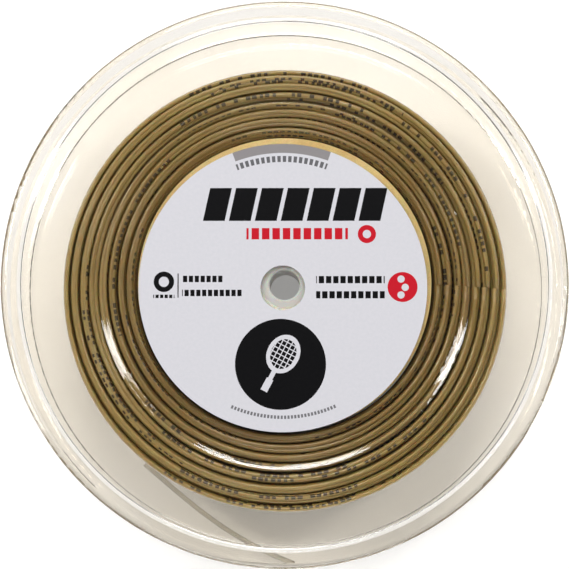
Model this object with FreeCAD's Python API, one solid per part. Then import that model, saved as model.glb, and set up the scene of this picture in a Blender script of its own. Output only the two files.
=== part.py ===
# String reel for rackets: a clear moulded spool with a round face label, wound with a long coil of
# string whose loose end is caught in a slot in the rear rim.
#
# Frame: the reel lies flat on its rear flange. The origin is on the spindle axis, in the plane of
# the rear rim's resting face. +Z runs along the axis to the labelled front face, and +Y is the
# label's top. Millimetres.
import FreeCAD, Part
import math
import os

from FreeCAD import Vector

# ---------------------------------------------------------------- driving dimensions
FLANGE_RADIUS = 75.0      # outer edge of both flanges
OVERALL_WIDTH = 37.0      # from the rear resting face to the front rim face
WEB = 1.8                 # thickness of a flange's flat parts
RIM_WIDTH = 5.25          # radial width of the thick rim
RIM_THICKNESS = 4.0       # axial thickness of the thick rim
RIM_PROUD = 0.8           # how far the rim stands out of the web's outer face
RIM_ROUND = 1.5           # rounding of the rim's outer edges
RIM_DRAFT = 0.6           # lean of the rim's inner walls, for the mould
RIM_INNER_ROUND = 0.8     # rounding where those walls meet the rim's faces
RIM_ROOT_ROUND = 0.5      # rounding where they meet the web

HUB_RADIUS = 38.8         # drum's outside, which the string is wound on
DRUM_WALL = 1.8
SHOULDER_GAP = 8.7        # from the drum's outside to the shoulder in the flange
SHOULDER_RUN = 2.0        # radial length of the shoulder's slope
SHOULDER_STEP = 0.8       # how much deeper the middle of the flange lies
SHOULDER_ROUND = 5.2      # rounding of both ends of the slope

SPIGOT_WALL = 1.75        # ring on each flange that plugs into the drum
SPIGOT_HEIGHT = 5.0
RIB_COUNT = 6
RIB_THICKNESS = 1.2
RIB_HEIGHT = 4.0

LUG_COUNT = 3             # snap lugs on each spigot
LUG_SPAN_DEG = 16.0
LUG_REACH = 0.7           # how far a lug stands into the drum wall
LUG_LENGTH = 1.6
LUG_OFFSET = 2.0          # from the flange's inner face to the lug's catch
LUG_CLEARANCE = 0.15
LUG_FIRST_DEG = 30.0      # between two ribs

BORE_RADIUS = 4.0         # spindle bore
TUBE_WALL = 3.4           # wall of the spindle tube
TUBE_CHAMFER = 0.4
MOUTH_GAP = 2.2           # flange's centre hole stands this far outside the bore
BOSS_WALL = 1.95          # ring on each flange that holds the spindle tube
BOSS_HEIGHT = 5.0

LABEL_THICKNESS = 0.15
LABEL_EDGE_GAP = 0.7      # label's edge stands this far inside the drum's outside
LABEL_HOLE_GAP = 0.3      # label's hole is this much smaller than the flange's
LABEL_OFF_CENTRE = (-0.45, -0.9)   # stuck on by hand, a little low

STRING_DIAMETER = 1.32
FREEBOARD = 16.0          # clear rim above the winding
WINDING_SAG = 1.3         # slack outer turns hang this far off centre
PACKING = 0.78            # share of the winding that is string
KNOT_RADIUS = 1.55
KNOT_LENGTH = 2.4
ANCHOR_DEG = 150.0        # where the string's inner end goes through the drum

FIT = 0.05                # push fits and the string in its slot
SEAT_GAP = 0.1            # winding to the spool around it

# Loose end of the string, from where it leaves the winding to the slot in the rear rim.
TAIL_POINTS = [
    (-38.20, -47.30),
    (-29.14, -55.17),
    (-19.75, -62.64),
    (-10.89, -68.28),
    (-2.80, -72.23),
    (2.30, -74.29),
]
ARC_SHARE = 0.45          # of the shorter run, taken by a bend at each end

# ---------------------------------------------------------------- sizes that follow
SEAT_Z = RIM_PROUD + SHOULDER_STEP          # outer face of the flange's middle, where the label is
INNER_Z = SEAT_Z + WEB                      # inner face of the flange's middle
OUTER_WEB_Z = RIM_PROUD + WEB               # inner face of the flange outside the shoulder
RIM_ROOT_RADIUS = FLANGE_RADIUS - RIM_WIDTH
SHOULDER_RADIUS = HUB_RADIUS + SHOULDER_GAP
SHOULDER_END = SHOULDER_RADIUS + SHOULDER_RUN
DRUM_BORE = HUB_RADIUS - DRUM_WALL
SPIGOT_RADIUS = DRUM_BORE - FIT
SPIGOT_BORE = SPIGOT_RADIUS - SPIGOT_WALL
TUBE_RADIUS = BORE_RADIUS + TUBE_WALL
BOSS_BORE = TUBE_RADIUS + FIT
BOSS_RADIUS = BOSS_BORE + BOSS_WALL
MOUTH_RADIUS = BORE_RADIUS + MOUTH_GAP
WINDING_RADIUS = FLANGE_RADIUS - FREEBOARD
STRING_RADIUS = STRING_DIAMETER / 2
TAIL_Z = OUTER_WEB_Z + STRING_RADIUS + FIT
AXIS = Vector(0, 0, 1)


# ---------------------------------------------------------------- helpers
def ring(inner, outer, low, high):
    """A plain ring round the axis."""
    base = Vector(0, 0, low)
    return Part.makeCylinder(outer, high - low, base).cut(Part.makeCylinder(inner, high - low, base))


def rounded_profile(corners):
    """A closed face in the XZ plane from (radius, z, rounding) corners."""
    count = len(corners)
    points = [Vector(r, 0, z) for r, z, _ in corners]
    starts, ends, edges = [], [], []
    for i, (_, _, rounding) in enumerate(corners):
        here, before, after = points[i], points[i - 1], points[(i + 1) % count]
        back = (before - here).normalize()
        forward = (after - here).normalize()
        half = back.getAngle(forward) / 2
        reach = rounding / math.tan(half)
        starts.append(here + back * reach)
        ends.append(here + forward * reach)
        if rounding > 0:
            inward = (back + forward).normalize()
            middle = here + inward * (rounding / math.sin(half) - rounding)
            edges.append(Part.Arc(starts[i], middle, ends[i]).toShape())
    for i in range(count):
        edges.append(Part.LineSegment(ends[i], starts[(i + 1) % count]).toShape())
    return Part.Face(Part.Wire(Part.__sortEdges__(edges)))


def turned(profile, degrees=360.0):
    """The solid that a profile sweeps round the axis."""
    return profile.revolve(Vector(0, 0, 0), AXIS, degrees)


def turned_about(shape, degrees):
    copy = shape.copy()
    copy.rotate(Vector(0, 0, 0), AXIS, degrees)
    return copy


def to_front(shape):
    """The same shape at the front of the reel."""
    return shape.mirror(Vector(0, 0, OVERALL_WIDTH / 2), AXIS)


# ---------------------------------------------------------------- spool
def snap_lugs():
    """Barbs round a spigot: square catch towards the flange, ramp towards the drum."""
    catch_z = INNER_Z + LUG_OFFSET
    ramp = [
        (SPIGOT_RADIUS - FIT, catch_z, 0),
        (SPIGOT_RADIUS + LUG_REACH, catch_z, 0),
        (SPIGOT_RADIUS - FIT, catch_z + LUG_LENGTH, 0),
    ]
    lug = turned(rounded_profile(ramp), LUG_SPAN_DEG)
    first = LUG_FIRST_DEG - LUG_SPAN_DEG / 2
    return [turned_about(lug, first + i * 360.0 / LUG_COUNT) for i in range(LUG_COUNT)]


def flange_plate():
    """The disc with its thick rim and its shoulder, turned in one."""
    rim_wall = RIM_ROOT_RADIUS + RIM_DRAFT
    corners = [
        (MOUTH_RADIUS, SEAT_Z, 0),
        (SHOULDER_RADIUS, SEAT_Z, SHOULDER_ROUND),
        (SHOULDER_END, RIM_PROUD, SHOULDER_ROUND),
        (RIM_ROOT_RADIUS, RIM_PROUD, RIM_ROOT_ROUND),
        (rim_wall, 0, RIM_INNER_ROUND / 2),
        (FLANGE_RADIUS, 0, RIM_ROUND),
        (FLANGE_RADIUS, RIM_THICKNESS, RIM_ROUND),
        (rim_wall, RIM_THICKNESS, RIM_INNER_ROUND),
        (RIM_ROOT_RADIUS, OUTER_WEB_Z, RIM_ROOT_ROUND),
        (SHOULDER_END, OUTER_WEB_Z, SHOULDER_ROUND),
        (SHOULDER_RADIUS, INNER_Z, SHOULDER_ROUND),
        (MOUTH_RADIUS, INNER_Z, 0),
    ]
    return turned(rounded_profile(corners))


def flange():
    """A rear flange with its spigot, tube boss, ribs and snap lugs, before its slot is cut."""
    root_z = INNER_Z - WEB / 2
    spigot = ring(SPIGOT_BORE, SPIGOT_RADIUS, root_z, INNER_Z + SPIGOT_HEIGHT)
    boss = ring(BOSS_BORE, BOSS_RADIUS, root_z, INNER_Z + BOSS_HEIGHT)
    boss = boss.fuse(ring(MOUTH_RADIUS, BOSS_RADIUS, root_z, INNER_Z))
    reach = (SPIGOT_BORE + SPIGOT_RADIUS) / 2
    start = (BOSS_BORE + BOSS_RADIUS) / 2
    rib = Part.makeBox(reach - start, RIB_THICKNESS, RIB_HEIGHT + WEB / 2,
                       Vector(start, -RIB_THICKNESS / 2, root_z))
    ribs = [turned_about(rib, i * 360.0 / RIB_COUNT) for i in range(RIB_COUNT)]
    return flange_plate().multiFuse([spigot, boss] + ribs + snap_lugs()).removeSplitter()


def tail_slot():
    """The channel in the rear rim's inner side that the string's loose end is pushed into."""
    line = [Vector(*point) for point in TAIL_POINTS[2:]]
    line.append(line[-1] + (line[-1] - line[-2]).normalize() * RIM_WIDTH)
    left, right = [], []
    for i, here in enumerate(line):
        along = (line[min(i + 1, len(line) - 1)] - line[max(i - 1, 0)]).normalize()
        side = AXIS.cross(along) * (STRING_RADIUS + 2 * FIT)
        left.append(here + side)
        right.insert(0, here - side)
    outline = Part.Face(Part.makePolygon(left + right + left[:1]))
    outline.translate(Vector(0, 0, TAIL_Z - STRING_RADIUS))
    return outline.extrude(Vector(0, 0, RIM_THICKNESS))


def front_flange():
    return to_front(flange())


def rear_flange():
    return flange().cut(tail_slot())


def hub_drum():
    """The barrel between the flanges, with windows for the snap lugs and the string's hole."""
    drum = ring(DRUM_BORE, HUB_RADIUS, INNER_Z, OVERALL_WIDTH - INNER_Z)
    low = INNER_Z + LUG_OFFSET - LUG_CLEARANCE
    high = INNER_Z + LUG_OFFSET + LUG_LENGTH + LUG_CLEARANCE
    span = LUG_SPAN_DEG + 2 * math.degrees(LUG_CLEARANCE / DRUM_BORE)
    outline = [
        (DRUM_BORE - DRUM_WALL, low, 0),
        (HUB_RADIUS + DRUM_WALL, low, 0),
        (HUB_RADIUS + DRUM_WALL, high, 0),
        (DRUM_BORE - DRUM_WALL, high, 0),
    ]
    window = turned(rounded_profile(outline), span)
    first = LUG_FIRST_DEG - span / 2
    windows = [turned_about(window, first + i * 360.0 / LUG_COUNT) for i in range(LUG_COUNT)]
    hole_radius = STRING_RADIUS + 5 * FIT
    hole = Part.makeCylinder(hole_radius, 3 * DRUM_WALL, Vector(DRUM_BORE - DRUM_WALL, 0, OVERALL_WIDTH / 2),
                             Vector(1, 0, 0))
    return drum.cut(windows + [to_front(w) for w in windows] + [turned_about(hole, ANCHOR_DEG)])


def spindle_tube():
    """The tube that turns on a stringer's spindle, held between the two bosses."""
    low, high = INNER_Z, OVERALL_WIDTH - INNER_Z
    corners = [
        (BORE_RADIUS + TUBE_CHAMFER, low, 0),
        (TUBE_RADIUS, low, 0),
        (TUBE_RADIUS, high, 0),
        (BORE_RADIUS + TUBE_CHAMFER, high, 0),
        (BORE_RADIUS, high - TUBE_CHAMFER, 0),
        (BORE_RADIUS, low + TUBE_CHAMFER, 0),
    ]
    return turned(rounded_profile(corners))


def front_label():
    """The printed disc in the front flange's recess."""
    low = OVERALL_WIDTH - SEAT_Z
    label = ring(MOUTH_RADIUS - LABEL_HOLE_GAP, HUB_RADIUS - LABEL_EDGE_GAP, low, low + LABEL_THICKNESS)
    label.translate(Vector(*LABEL_OFF_CENTRE, 0))
    return label


# ---------------------------------------------------------------- string
def string_winding():
    """The outer shape of all the turns on the drum, bulging to the shape of the flanges."""
    inner = HUB_RADIUS + SEAT_GAP
    low, wide = INNER_Z + SEAT_GAP, OUTER_WEB_Z + SEAT_GAP
    shoulder = SHOULDER_END + SHOULDER_RUN / 2
    core = ring(inner, shoulder, low, OVERALL_WIDTH - low)
    body = Part.makeCylinder(WINDING_RADIUS, OVERALL_WIDTH - 2 * wide, Vector(0, -WINDING_SAG, wide))
    outside = body.cut(Part.makeCylinder(shoulder, OVERALL_WIDTH, Vector(0, 0, 0)))
    return core.fuse(outside).removeSplitter()


def tail_edges():
    """The loose end's line: straight runs joined by the largest tangent arcs that fit."""
    points = [Vector(x, y, TAIL_Z) for x, y in TAIL_POINTS]
    edges, start = [], points[0]
    for before, here, after in zip(points, points[1:], points[2:]):
        back, forward = before - here, after - here
        reach = ARC_SHARE * min(back.Length, forward.Length)
        half = back.getAngle(forward) / 2
        radius = reach * math.tan(half)
        arc_start = here + back.normalize() * reach
        arc_end = here + forward.normalize() * reach
        inward = (back + forward).normalize()
        middle = here + inward * (radius / math.sin(half) - radius)
        edges.append(Part.LineSegment(start, arc_start).toShape())
        edges.append(Part.Arc(arc_start, middle, arc_end).toShape())
        start = arc_end
    edges.append(Part.LineSegment(start, points[-1]).toShape())
    return edges


def string_tail():
    """The loose end, lying on the rear web and in its slot."""
    edges = tail_edges()
    for bend in edges[1::2]:
        print("tail bend radius %.1f mm" % bend.Curve.Radius)
    path = Part.Wire(edges)
    direction = Vector(*TAIL_POINTS[1]) - Vector(*TAIL_POINTS[0])
    section = Part.Wire(Part.makeCircle(STRING_RADIUS, Vector(*TAIL_POINTS[0], TAIL_Z), direction))
    tail = path.makePipeShell([section], True, True)
    expected = path.Length * math.pi * STRING_RADIUS ** 2
    print("tail %.1f mm long, volume %.4f of its section times its length"
          % (path.Length, tail.Volume / expected))
    return tail


def string_inner_end():
    """The string's first end: through the drum's hole, and knotted inside so that it can't pull out."""
    knot_end = DRUM_BORE - FIT
    middle = OVERALL_WIDTH / 2
    lead = Part.makeCylinder(STRING_RADIUS, HUB_RADIUS - knot_end + KNOT_LENGTH / 2,
                             Vector(knot_end - KNOT_LENGTH / 2, 0, middle), Vector(1, 0, 0))
    knot = Part.makeCylinder(KNOT_RADIUS, KNOT_LENGTH, Vector(knot_end - KNOT_LENGTH, 0, middle),
                             Vector(1, 0, 0))
    return turned_about(lead.fuse(knot), ANCHOR_DEG)


# ---------------------------------------------------------------- build
PARTS = {
    "front_flange": front_flange,
    "rear_flange": rear_flange,
    "hub_drum": hub_drum,
    "spindle_tube": spindle_tube,
    "front_label": front_label,
    "string_winding": string_winding,
    "string_tail": string_tail,
    "string_inner_end": string_inner_end,
}


def main():
    os.makedirs("parts", exist_ok=True)
    for name, make in PARTS.items():
        shape = make()
        if not shape.isValid() or len(shape.Solids) != 1:
            raise ValueError("%s is not one valid solid" % name)
        shape.Solids[0].exportStep("parts/%s.step" % name)
        box = shape.BoundBox
        print("%-17s %9.1f mm3  %6.1f x %6.1f x %5.1f mm"
              % (name, shape.Volume, box.XLength, box.YLength, box.ZLength))
        if name == "string_winding":
            metres = shape.Volume * PACKING / (math.pi * STRING_RADIUS ** 2) / 1000
            print("the winding holds about %.0f m of string" % metres)


main()
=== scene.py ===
# %% [markdown]
# # A reel of racket string
# A clear plastic spool, 150 mm across, wound with about 110 m of 1.32 mm string. The spool comes
# ready made from the construction model, so this file gives it its finishes, winds real string
# onto it in place of the plain ring that stands for it, prints its label, and lights it.

# %% Load the construction model
import math

import bpy
import numpy as np
from mathutils import Matrix, Vector


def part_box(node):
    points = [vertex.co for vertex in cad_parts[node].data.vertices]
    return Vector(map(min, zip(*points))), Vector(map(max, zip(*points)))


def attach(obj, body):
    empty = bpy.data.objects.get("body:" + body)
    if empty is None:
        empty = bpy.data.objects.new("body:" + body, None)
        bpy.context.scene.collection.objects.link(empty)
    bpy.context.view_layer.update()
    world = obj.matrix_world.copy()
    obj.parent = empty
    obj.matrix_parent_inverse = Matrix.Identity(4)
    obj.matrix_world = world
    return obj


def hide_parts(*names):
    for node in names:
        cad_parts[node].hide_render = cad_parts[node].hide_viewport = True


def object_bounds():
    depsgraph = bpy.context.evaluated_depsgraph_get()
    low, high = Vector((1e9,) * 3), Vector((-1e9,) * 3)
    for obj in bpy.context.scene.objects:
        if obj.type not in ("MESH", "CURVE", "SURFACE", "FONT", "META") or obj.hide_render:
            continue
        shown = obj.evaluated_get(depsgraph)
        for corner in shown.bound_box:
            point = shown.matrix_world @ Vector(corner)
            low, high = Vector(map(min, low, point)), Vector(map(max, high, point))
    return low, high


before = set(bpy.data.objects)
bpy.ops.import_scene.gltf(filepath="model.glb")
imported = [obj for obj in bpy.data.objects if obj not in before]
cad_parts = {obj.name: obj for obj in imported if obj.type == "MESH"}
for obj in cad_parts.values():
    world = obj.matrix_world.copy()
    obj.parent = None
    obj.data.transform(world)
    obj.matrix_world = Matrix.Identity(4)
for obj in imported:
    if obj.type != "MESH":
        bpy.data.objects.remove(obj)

cad_low, cad_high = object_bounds()
MM = 0.001
TOP = cad_high.z
print("construction box", [round(v / MM, 2) for v in (*cad_low, *cad_high)])

# %% [markdown]
# Shader maths reads best as plain expressions. `Socket` wraps a node's output, so that
# `1 - mask * 0.5` adds the Math nodes by itself. Colours go through Mix instead, because a Math
# node would turn a colour grey. One method, `Nodes.node`, makes any other node: its settings come
# first and then its inputs. Writing the nodes out one by one would work too, but the label alone
# has some hundreds of them.

# %% Sockets that do arithmetic


class Socket:
    """A node's output, or part of an expression made of outputs and numbers."""

    def __init__(self, nodes, output):
        self.nodes = nodes
        self.output = output

    def math(self, operation, *values):
        return self.nodes.node("ShaderNodeMath", {"operation": operation}, dict(enumerate(values)))

    def __add__(self, other):
        return self.math("ADD", self, other)

    def __radd__(self, other):
        return self.math("ADD", other, self)

    def __sub__(self, other):
        return self.math("SUBTRACT", self, other)

    def __rsub__(self, other):
        return self.math("SUBTRACT", other, self)

    def __mul__(self, other):
        return self.math("MULTIPLY", self, other)

    def __rmul__(self, other):
        return self.math("MULTIPLY", other, self)

    def __truediv__(self, other):
        return self.math("DIVIDE", self, other)

    def __abs__(self):
        return self.math("ABSOLUTE", self)

    def sqrt(self):
        return self.math("SQRT", self)

    def fract(self):
        return self.math("FRACT", self)

    def floor(self):
        return self.math("FLOOR", self)

    def at_least(self, other):
        return self.math("MAXIMUM", self, other)

    def under(self, other):
        """1 where this is less than the other, else 0."""
        return self.math("LESS_THAN", self, other)

    def over(self, other):
        return self.math("GREATER_THAN", self, other)

    def ramp(self, low, high):
        """0 at low, 1 at high, straight in between."""
        return self.nodes.node("ShaderNodeMapRange", {"clamp": True}, {0: self, 1: low, 2: high})


class Nodes:
    """A node tree, emptied, and the ways to fill it."""

    def __init__(self, tree):
        self.tree = tree
        self.tree.nodes.clear()
        self.made = 0

    def node(self, kind, settings=None, inputs=None, output=0):
        """Any node, from its settings and then the values or links of its inputs."""
        made = self.tree.nodes.new(kind)
        made.location = (180 * (self.made % 12), -160 * (self.made // 12))
        self.made += 1
        for key, value in (settings or {}).items():
            setattr(made, key, value)
        for key, value in (inputs or {}).items():
            if isinstance(value, Socket):
                self.tree.links.new(value.output, made.inputs[key])
            else:
                made.inputs[key].default_value = value
        return Socket(self, made.outputs[output]) if made.outputs else None

    def place(self):
        """The piece's own coordinates in millimetres, as three values."""
        spot = self.node("ShaderNodeTexCoord", output="Object")
        return [axis / MM for axis in self.split(spot)]

    def split(self, vector):
        first = self.node("ShaderNodeSeparateXYZ", {}, {0: vector})
        return [Socket(self, axis) for axis in first.output.node.outputs]

    def join(self, x, y, z):
        return self.node("ShaderNodeCombineXYZ", {}, {0: x, 1: y, 2: z})

    def noise(self, vector, scale, detail=3.0, rough=0.55):
        inputs = {"Vector": vector, "Scale": scale, "Detail": detail, "Roughness": rough}
        return self.node("ShaderNodeTexNoise", {}, inputs)

    def mix(self, factor, low, high):
        """Colour low where factor is 0, colour high where it is 1."""
        inputs = {0: factor, 6: low, 7: high}
        return self.node("ShaderNodeMix", {"data_type": "RGBA"}, inputs, output=2)

    def bump(self, height, strength, distance):
        inputs = {"Height": height, "Strength": strength, "Distance": distance}
        return self.node("ShaderNodeBump", {}, inputs)

    def principled(self, **inputs):
        named = {key.replace("_", " "): value for key, value in inputs.items()}
        return self.node("ShaderNodeBsdfPrincipled", {}, named)


class Shader(Nodes):
    """A material made of nodes."""

    def __init__(self, name):
        self.material = bpy.data.materials.new(name)
        self.material.use_nodes = True
        super().__init__(self.material.node_tree)

    def finish(self, surface):
        self.node("ShaderNodeOutputMaterial", {"is_active_output": True}, {"Surface": surface})
        print("material", self.material.name, len(self.tree.nodes), "nodes")
        return self.material


def rgb(red, green, blue):
    """A display colour of 0 to 255 a channel, as the linear values that shaders use."""
    def linear(value):
        value /= 255
        return value / 12.92 if value <= 0.04045 else ((value + 0.055) / 1.055) ** 2.4
    return (linear(red), linear(green), linear(blue), 1.0)


# %% [markdown]
# The spool is polished clear polystyrene, whose index of 1.59 is what makes its rims and steps
# flash. A clear part could be faked with a thin see-through shader, but the double line at the
# shoulder comes from light bending through both faces, so real refraction is used. The mixed-in
# transparent shader lets lamps shine through, where the renderer would otherwise cast a solid
# shadow. The moulding is never quite flat, so a slow, faint bump bends the reflections.

# %% Clear plastic
def clear_plastic(name, tint, waviness):
    shader = Shader(name)
    spot = shader.node("ShaderNodeTexCoord", output="Object")
    flow = shader.noise(spot, 38.0, 2.0)
    cloud = shader.noise(spot, 14.0, 3.0)
    colour = shader.mix(cloud.ramp(0.35, 0.65), tint, [0.2 + value * 0.8 for value in tint])
    normal = shader.bump(flow, waviness, 0.0004)
    glass = shader.principled(Base_Color=colour, Roughness=0.03, IOR=1.59, Transmission_Weight=1.0,
                              Normal=normal)
    clear = shader.node("ShaderNodeBsdfTransparent", {}, {"Color": (0.93, 0.92, 0.90, 1.0)})
    lamp = shader.node("ShaderNodeLightPath", output="Is Shadow Ray")
    return shader.finish(shader.node("ShaderNodeMixShader", {}, {0: lamp, 1: glass, 2: clear}))


spool_clear = clear_plastic("clear_moulding", (0.86, 0.835, 0.79, 1.0), 0.04)

# %% [markdown]
# The spindle tube and the drum are the same family of plastic without its polish: the tube milky,
# the drum given a painted honey colour that stands in for the string shining through it. Light
# scattering under the surface gives their milkiness, at far less cost than a cloudy volume.

# %% Milky plastic
def milky_plastic(name, dark, light, clearness):
    shader = Shader(name)
    spot = shader.node("ShaderNodeTexCoord", output="Object")
    colour = shader.mix(shader.noise(spot, 120.0).ramp(0.3, 0.7), dark, light)
    return shader.finish(shader.principled(
        Base_Color=colour, Roughness=0.28, IOR=1.5, Transmission_Weight=clearness,
        Subsurface_Weight=0.35, Subsurface_Scale=0.002,
        Normal=shader.bump(shader.noise(spot, 900.0), 0.08, 0.0002)))


# Painted light: the drum's honey colour stands in for the string shining through the clear drum.
drum_painted_glow = milky_plastic("drum_painted_string_light", rgb(214, 190, 128), rgb(232, 212, 158), 0.12)
milky = milky_plastic("natural_moulding", rgb(243, 240, 230), rgb(250, 248, 242), 0.25)


# %% [markdown]
# The string is a core of fine filaments in a glossy, honey-coloured sleeve. Its ink is printed in
# broken runs of small marks, here plain ticks and dashes. The marks need to know how far along the
# string they are, so each turn's mesh carries that distance in a UV map: `u` in metres along the
# string and `v` round it.

# %% String finish
PRINT_PERIOD = 0.173      # metres of string from one run of marks to the next
PRINT_SHARE = 0.3         # share of that length which carries marks
MARK_PITCH = 0.0017       # metres from one mark to the next
# Painted shade and light: the string's colour darkens towards the hub and pales outwards, standing in for
# the outer turns catching more light.
PAINTED_SHADE_RADIUS = 40.0        # the winding darkens from the pale radius in to this one, in millimetres
PAINTED_LIGHT_RADIUS = 60.0


def string_finish(name, clearness, painted_backlight):
    """The string's finish. A lone strand lets far more light through than one deep in the winding; the
    last argument paints that glow in as pale cream.
    """
    shader = Shader(name)
    uv = shader.node("ShaderNodeUVMap", {"uv_map": "along"})
    along, around, _ = shader.split(uv)
    x, y, z = shader.place()
    radius = (x * x + y * y).sqrt()
    stretch = shader.noise(shader.join(along * 26.0, around * 2.0, 0.0), 1.0, 4.0, 0.6)
    streak = shader.noise(shader.join(along * 9.0, around * 14.0, 4.0), 1.0, 2.0)
    # Painted shade and light: most of this tone follows the radius, dark inside and pale outside. The
    # rest is random unevenness along the string.
    shade_and_stretch = radius.ramp(PAINTED_SHADE_RADIUS, PAINTED_LIGHT_RADIUS) * 0.62 + stretch.ramp(0.35, 0.7) * 0.38
    # deep is the painted shaded colour of the inner turns, pale the painted lit colour of the outer ones.
    deep = shader.mix(streak.ramp(0.3, 0.7), rgb(116, 90, 44), rgb(134, 107, 54))
    pale = shader.mix(streak.ramp(0.3, 0.7), rgb(158, 134, 70), rgb(180, 160, 98))
    # Painted light: a share of pale cream stands in for light shining through a lone strand.
    sleeve = shader.mix(painted_backlight, shader.mix(shade_and_stretch, deep, pale), (0.95, 0.93, 0.86, 1.0))
    in_run = (along / PRINT_PERIOD).fract().under(PRINT_SHARE)
    mark = along / MARK_PITCH
    roll = shader.node("ShaderNodeTexWhiteNoise", {"noise_dimensions": "1D"}, {"W": mark.floor()})
    wide = mark.fract().under(0.35 + roll * 0.45)
    shown = roll.over(0.3)
    turned = shader.noise(shader.join(along * 1.3, 0.0, 7.0), 1.0, 1.0) * 2.2
    band = abs((around + turned).fract() - 0.5).under(0.16)
    ink = in_run * wide * shown * band
    colour = shader.mix(ink * 0.9, sleeve, rgb(40, 30, 22))
    fine = shader.noise(shader.join(along * 700.0, around * 30.0, 0.0), 1.0, 2.0)
    return shader.finish(shader.principled(
        Base_Color=colour, Roughness=0.26, IOR=1.53, Transmission_Weight=clearness,
        Subsurface_Weight=0.3, Subsurface_Scale=0.0012, Coat_Weight=0.35, Coat_Roughness=0.12,
        Normal=shader.bump(fine, 0.12, 0.00005)))


string_sleeve = string_finish("string_sleeve", 0.25, 0.0)
# The lone strand's last value, 0.85, is painted backlight.
strand_sleeve = string_finish("string_lone_strand", 0.9, 0.85)

# %% [markdown]
# A film-laminated paper disc. Its print is a set of flat shapes with crisp edges, so each shape is
# a small formula of the place on the label, in millimetres from the label's centre: 1 inside the
# shape and 0 outside. Meshes laid on the paper would do as well, but they would add loose pieces
# that the real label doesn't have. The marks are plain bars, dashes, rings and a racket.

# %% Shapes for the label's print
label_low, label_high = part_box("front_label")
LABEL_CENTRE = (label_low + label_high) / 2 / MM
LABEL_RADIUS = (label_high.x - label_low.x) / 2 / MM
print("label radius %.2f mm" % LABEL_RADIUS)


class Print:
    """Flat shapes on the label."""

    def __init__(self, shader):
        x, y, _ = shader.place()
        self.x = x - LABEL_CENTRE.x
        self.y = y - LABEL_CENTRE.y
        self.radius = (self.x * self.x + self.y * self.y).sqrt()
        self.angle = self.x.math("ARCTAN2", self.x, self.y)

    def bar(self, left, right, low, high, lean=0.0):
        x = self.x - self.y * lean
        return (x.over(left) * x.under(right)) * (self.y.over(low) * self.y.under(high))

    def dashes(self, pitch, share, lean=0.0, start=0.0):
        return ((self.x - self.y * lean - start) / pitch).fract().under(share)

    def disc(self, x, y, radius):
        dx, dy = self.x - x, self.y - y
        return (dx * dx + dy * dy).under(radius * radius)

    def arc(self, inner, outer, first, last):
        """Part of a ring, between two angles from the label's top, clockwise."""
        band = self.radius.over(inner) * self.radius.under(outer)
        return band * self.angle.over(math.radians(first)) * self.angle.under(math.radians(last))

    def ticks(self, count, share):
        return (self.angle * (count / math.tau)).fract().under(share)

    def foot_arc(self, inner, outer, half_span):
        """Part of a ring about the label's foot."""
        band = self.radius.over(inner) * self.radius.under(outer)
        return band * abs(self.angle).over(math.radians(180 - half_span))


def racket(art, x, y):
    """A small racket leaning to the right: frame, strings, throat and handle."""
    lean = math.radians(28)
    dx, dy = art.x - x, art.y - y
    u = dx * math.cos(lean) - dy * math.sin(lean)
    v = dx * math.sin(lean) + dy * math.cos(lean)
    head_v = v - 2.4
    head = (u * u / 14.4 + head_v * head_v / 22.0).sqrt()
    frame_ring = abs(head - 1.0).under(0.13)
    mesh_u = (u / 1.25 + 0.5).fract().under(0.2)
    mesh_v = (head_v / 1.25 + 0.5).fract().under(0.2)
    strings = mesh_u.at_least(mesh_v) * head.under(1.0)
    handle = abs(u).under(0.62) * v.over(-8.6) * v.under(-2.3)
    grip = abs(u).under(0.95) * v.over(-8.6) * v.under(-5.0)
    return frame_ring.at_least(strings).at_least(handle).at_least(grip)


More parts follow.
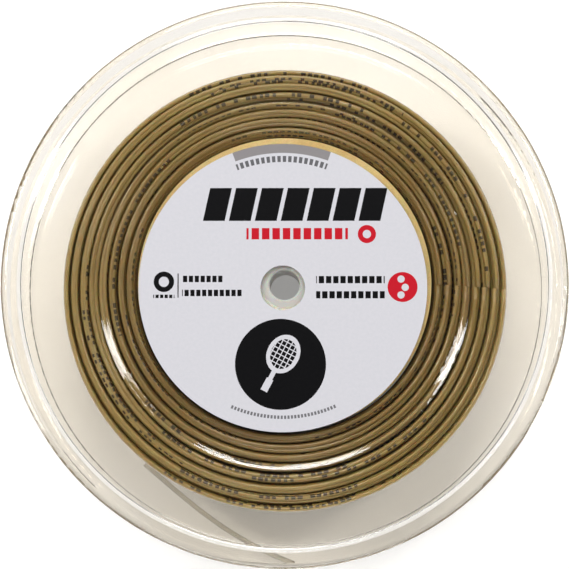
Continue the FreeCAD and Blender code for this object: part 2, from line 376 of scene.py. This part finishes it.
# %% Label finish
def label_finish():
    shader = Shader("label_print")
    art = Print(shader)
    big = art.bar(-25.0, 22.6, 17.7, 26.4, lean=0.22) * art.dashes(6.85, 0.84, lean=0.22, start=-25.0)
    emblem = art.disc(-0.6, -20.2, 12.0) * (1 - racket(art, -1.0, -19.6))
    gauge = art.disc(-31.4, 1.6, 2.7) * (1 - art.disc(-31.4, 1.6, 1.35))
    gauge = gauge.at_least(art.bar(-34.2, -28.6, -2.7, -1.8) * art.dashes(1.2, 0.7))
    rule = art.bar(-27.8, -27.5, -2.6, 3.8)
    left = art.bar(-26.6, -15.8, 1.5, 3.2) * art.dashes(1.55, 0.72)
    left = left.at_least(art.bar(-26.6, -10.6, -2.2, -0.5) * art.dashes(1.55, 0.72, start=0.4))
    right = art.bar(8.8, 26.9, 1.2, 3.1) * art.dashes(1.9, 0.74)
    right = right.at_least(art.bar(8.8, 26.9, -2.8, -0.9) * art.dashes(1.9, 0.74, start=0.9))
    crown = art.arc(33.3, 34.9, -21, 20) * art.ticks(150, 0.62)
    foot = art.foot_arc(33.7, 34.6, 24) * art.ticks(240, 0.62)
    black = big.at_least(emblem).at_least(gauge).at_least(rule).at_least(left).at_least(right)
    black = black.at_least(crown * 0.8).at_least(foot * 0.75)
    red = art.bar(-9.6, 17.2, 12.8, 15.8) * art.dashes(2.75, 0.72)
    red = red.at_least(art.disc(22.2, 14.2, 2.4) * (1 - art.disc(22.2, 14.2, 1.1)))
    dot = 0.95
    dots = art.disc(31.2, 2.3, dot).at_least(art.disc(32.3, 0.1, dot)).at_least(art.disc(31.2, -1.9, dot))
    red = red.at_least(art.disc(31.6, 0.2, 3.95) * (1 - dots))
    grey = art.arc(35.7, LABEL_RADIUS, -20.5, 19.5)
    fibre = shader.noise(shader.join(art.x, art.y, 0.0), 1.1, 4.0)
    paper = shader.mix(fibre.ramp(0.3, 0.7), rgb(220, 220, 226), rgb(225, 224, 230))
    colour = shader.mix(grey, paper, rgb(150, 146, 147))
    colour = shader.mix(red, colour, rgb(206, 28, 44))
    colour = shader.mix(black, colour, rgb(12, 12, 14))
    rough = 0.2 + fibre * 0.06
    return shader.finish(shader.principled(
        Base_Color=colour, Roughness=rough, Coat_Weight=0.3, Coat_Roughness=0.06,
        Normal=shader.bump(fibre, 0.05, 0.0002)))


label_print = label_finish()

# %% Give the construction pieces their finishes
FINISHES = {
    "front_flange": spool_clear,
    "rear_flange": spool_clear,
    "hub_drum": drum_painted_glow,
    "spindle_tube": milky,
    "front_label": label_print,
    "string_inner_end": string_sleeve,
}
for name, finish in FINISHES.items():
    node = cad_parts[name]
    node.data.materials.clear()
    node.data.materials.append(finish)
    print("finished", name)

# %% [markdown]
# The winding is the reel's reason to exist: some 360 turns in 15 layers, laid from side to side.
# A ring with a stripy texture would look like one from straight ahead and fail at the edge, so
# the string itself is wound. Its centreline is a formula: the angle grows steadily, the height
# sweeps up one layer and down the next, and the radius steps out by a layer each sweep. Tension
# varies as a real reel is wound, so slow random waves push each turn in and out a little.

# %% The string's centreline
STRING_RADIUS = 0.66
LAYERS = 15
TURNS_PER_LAYER = 24
STEPS_PER_TURN = 90
WAVES = 5
FIRST_RADIUS = 39.9
LAST_RADIUS = 58.0
RADIUS_WAVE = 0.26        # how far the turns stray in and out, and from side to side
HEIGHT_WAVE = 0.1
INWARD_STRAY = 0.25       # the drum stops the first layer this far inside its line
SAG = 1.25                # outer turns hang this much off centre
CORE_RADIUS = 50.8        # inside this, the flanges stand closer together
CORE_MARGIN = 4.25        # from the reel's outer faces to the nearest turn, inside that radius
OUTER_MARGIN = 3.55       # and outside it

chance = np.random.default_rng(17)


def slow_wave(steps, size):
    """A smooth random curve with no mean, over a layer's steps."""
    turns = np.arange(steps) / STEPS_PER_TURN
    total = np.zeros(steps)
    for _ in range(WAVES):
        cycles = chance.uniform(0.35, 2.4)
        total += np.sin(math.tau * (cycles * turns + chance.uniform())) * chance.uniform(0.4, 1.0)
    return size * total / math.sqrt(WAVES)


def layer_line(layer):
    """One layer's centreline points, in millimetres."""
    steps = TURNS_PER_LAYER * STEPS_PER_TURN + 1
    share = np.arange(steps) / (steps - 1)
    angle = math.tau * TURNS_PER_LAYER * (layer + share)
    out = (layer + 0.5 * share ** 8) / (LAYERS - 0.5)
    radius = FIRST_RADIUS + (LAST_RADIUS - FIRST_RADIUS) * out + slow_wave(steps, RADIUS_WAVE)
    radius = np.maximum(radius, FIRST_RADIUS - INWARD_STRAY)
    margin = CORE_MARGIN if radius.mean() < CORE_RADIUS else OUTER_MARGIN
    low, high = margin, TOP / MM - margin
    height = low + (high - low) * (share if layer % 2 == 0 else 1 - share)
    height = np.clip(height + slow_wave(steps, HEIGHT_WAVE), low, high)
    sag = SAG * out ** 1.5
    return np.stack([radius * np.cos(angle), radius * np.sin(angle) - sag, height], axis=1)


print("%d turns in %d layers" % (LAYERS * TURNS_PER_LAYER, LAYERS))

# %% [markdown]
# Each layer becomes one mesh: a six-sided tube, smooth shaded, swept along its line. The tube's
# rings stand square to the line, and its side faces carry the distance along the string.

# %% Wind the layers
SIDES = 6


def tube_mesh(name, line, start_length):
    """A closed tube along a line, with a UV map of distance and turn. Returns mesh and length."""
    count = len(line)
    ahead = np.gradient(line, axis=0)
    ahead /= np.linalg.norm(ahead, axis=1, keepdims=True)
    up = np.array([0.0, 0.0, 1.0])
    side = np.cross(ahead, up)
    side /= np.linalg.norm(side, axis=1, keepdims=True)
    rise = np.cross(side, ahead)
    turn = math.tau * np.arange(SIDES) / SIDES
    ring = side[:, None] * np.cos(turn)[:, None] + rise[:, None] * np.sin(turn)[:, None]
    points = (line[:, None] + ring * STRING_RADIUS).reshape(-1, 3) * MM
    ring_start = np.arange(count - 1)[:, None] * SIDES
    corner = ring_start + np.arange(SIDES)
    beside = ring_start + (np.arange(SIDES) + 1) % SIDES
    quads = np.stack([corner, beside, beside + SIDES, corner + SIDES], axis=2).reshape(-1, 4)
    faces = [tuple(q) for q in quads.tolist()]
    faces.append(tuple(range(SIDES - 1, -1, -1)))
    faces.append(tuple(range((count - 1) * SIDES, count * SIDES)))
    mesh = bpy.data.meshes.new(name)
    mesh.from_pydata(points.tolist(), [], faces)
    steps = np.linalg.norm(np.diff(line, axis=0), axis=1) * MM
    length = start_length + np.concatenate([[0.0], np.cumsum(steps)])
    u0 = np.repeat(length[:-1], SIDES)
    u1 = np.repeat(length[1:], SIDES)
    v0 = np.tile(np.arange(SIDES) / SIDES, count - 1)
    v1 = v0 + 1 / SIDES
    uv = np.stack([np.stack(spot, 1) for spot in ((u0, v0), (u0, v1), (u1, v1), (u1, v0))], 1)
    caps = np.zeros((2 * SIDES, 2))
    layer = mesh.uv_layers.new(name="along")
    layer.data.foreach_set("uv", np.concatenate([uv.reshape(-1, 2), caps]).ravel())
    mesh.shade_smooth()
    mesh.materials.append(string_sleeve)
    return mesh, length[-1]


wound = 0.0
for layer_number in range(LAYERS):
    mesh, wound = tube_mesh("string_layer_%02d" % (layer_number + 1), layer_line(layer_number), wound)
    turns = bpy.data.objects.new(mesh.name, mesh)
    bpy.context.collection.objects.link(turns)
    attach(turns, "root")
    if layer_number == 0:
        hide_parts("string_winding")
print("wound %.1f m of string in %d layers" % (wound, LAYERS))

# %% [markdown]
# The loose end leaves the winding low on the left and runs, pulled tight, to its slot in the rear
# rim. It is a curve, so that its line stays smooth, with the same points as its construction tube.

# %% The loose end
TAIL_Z = 3.31
TAIL_POINTS = [
    (-38.20, -47.30),
    (-29.14, -55.17),
    (-19.75, -62.64),
    (-10.89, -68.28),
    (-2.80, -72.23),
    (2.30, -74.29),
]
curve = bpy.data.curves.new("string_loose_end", "CURVE")
curve.dimensions = "3D"
curve.bevel_depth = STRING_RADIUS * MM
curve.bevel_resolution = 4
curve.use_fill_caps = True
curve.resolution_u = 12
spline = curve.splines.new("NURBS")
spline.points.add(len(TAIL_POINTS) - 1)
for point, (x, y) in zip(spline.points, TAIL_POINTS):
    point.co = (x * MM, y * MM, TAIL_Z * MM, 1.0)
spline.order_u = 3
spline.use_endpoint_u = True
curve.materials.append(strand_sleeve)
tail = bpy.data.objects.new("string_loose_end", curve)
bpy.context.collection.objects.link(tail)
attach(tail, "root")
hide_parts("string_tail")
print("laid the loose end")

# %% [markdown]
# A white table under the reel, seen through the clear rims. It is lit evenly and glows a little, so
# that it is near white all round the reel, whose edges are drawn by what they bend and reflect.

# %% Table
TABLE_SIZE = 6.0
TABLE_GAP = 0.00005       # keeps the rear rim's face from lying in the table's
bpy.ops.mesh.primitive_plane_add(size=TABLE_SIZE, location=(0, 0, cad_low.z - TABLE_GAP))
table = bpy.context.object
table.name = "table_top"
white = Shader("white_table")
dust = white.noise(white.node("ShaderNodeTexCoord", output="Object"), 3.0)
table.data.materials.append(white.finish(white.principled(
    Base_Color=white.mix(dust, (0.93, 0.93, 0.93, 1.0), (0.95, 0.95, 0.95, 1.0)), Roughness=0.7,
    Emission_Color=(1.0, 1.0, 1.0, 1.0), Emission_Strength=0.22)))

# %% [markdown]
# A pale sky fills in from low all round, as in a white tent with a dark roof. Of four soft panels,
# the strongest stands beyond the reel's top and draws the double line on the shoulder's far side,
# one on each side shapes the string, and a low one lights the near rim.

# %% Light
world = bpy.data.worlds.new("tent")
world.use_nodes = True
sky = Nodes(world.node_tree)
direction = sky.node("ShaderNodeTexCoord", output="Generated")
height = sky.split(direction)[2]
glow = sky.mix(height.ramp(0.55, 0.93), (0.5, 0.49, 0.48, 1.0), (0.03, 0.029, 0.031, 1.0))
background = sky.node("ShaderNodeBackground", {}, {"Color": glow, "Strength": 1.0})
sky.node("ShaderNodeOutputWorld", {}, {"Surface": background})
bpy.context.scene.world = world


def panel(name, place, width, depth, power):
    light = bpy.data.lights.new(name, "AREA")
    light.shape = "RECTANGLE"
    light.size = width
    light.size_y = depth
    light.energy = power
    lamp = bpy.data.objects.new(name, light)
    lamp.location = place
    lamp.rotation_euler = (-Vector(place)).to_track_quat("-Z", "Y").to_euler()
    bpy.context.collection.objects.link(lamp)
    print("lit", name, power, "W")


panel("top_panel", (0.0, 0.62, 0.95), 0.55, 0.16, 4.3)
panel("left_panel", (-0.56, 0.3, 0.95), 0.16, 0.5, 3.0)
panel("right_panel", (0.56, 0.3, 0.95), 0.16, 0.5, 2.4)
panel("low_panel", (-0.1, -0.8, 0.6), 0.7, 0.3, 1.6)

# %% [markdown]
# The view is almost straight down on the label, from just over a metre, with a long lens: the rear
# rim then shows a little smaller inside the front one, and slightly lower.

# %% Camera
STAND_OFF = 1.03          # metres from the lens to the point looked at
VIEW_WIDTH = 0.15025      # metres that the view takes in there, from side to side
AIM_DEPTH = 0.002         # that point's depth under the front face
SIDE_LEAN = 0.0099
DOWN_LEAN = 0.0478
camera_data = bpy.data.cameras.new("camera")
camera_data.sensor_width = 36.0
camera_data.lens = camera_data.sensor_width * STAND_OFF / VIEW_WIDTH
camera = bpy.data.objects.new("camera", camera_data)
aim = Vector((0.0, 0.0, TOP - AIM_DEPTH))
camera.location = aim + Vector((SIDE_LEAN, -DOWN_LEAN, 1.0)).normalized() * STAND_OFF
back = (camera.location - aim).normalized()
right = Vector((0.0, 1.0, 0.0)).cross(back).normalized()
camera.rotation_euler = Matrix((right, back.cross(right), back)).transposed().to_euler()
bpy.context.collection.objects.link(camera)
bpy.context.scene.camera = camera
bpy.context.scene.view_settings.view_transform = "Standard"
print("lens %.0f mm" % camera_data.lens)
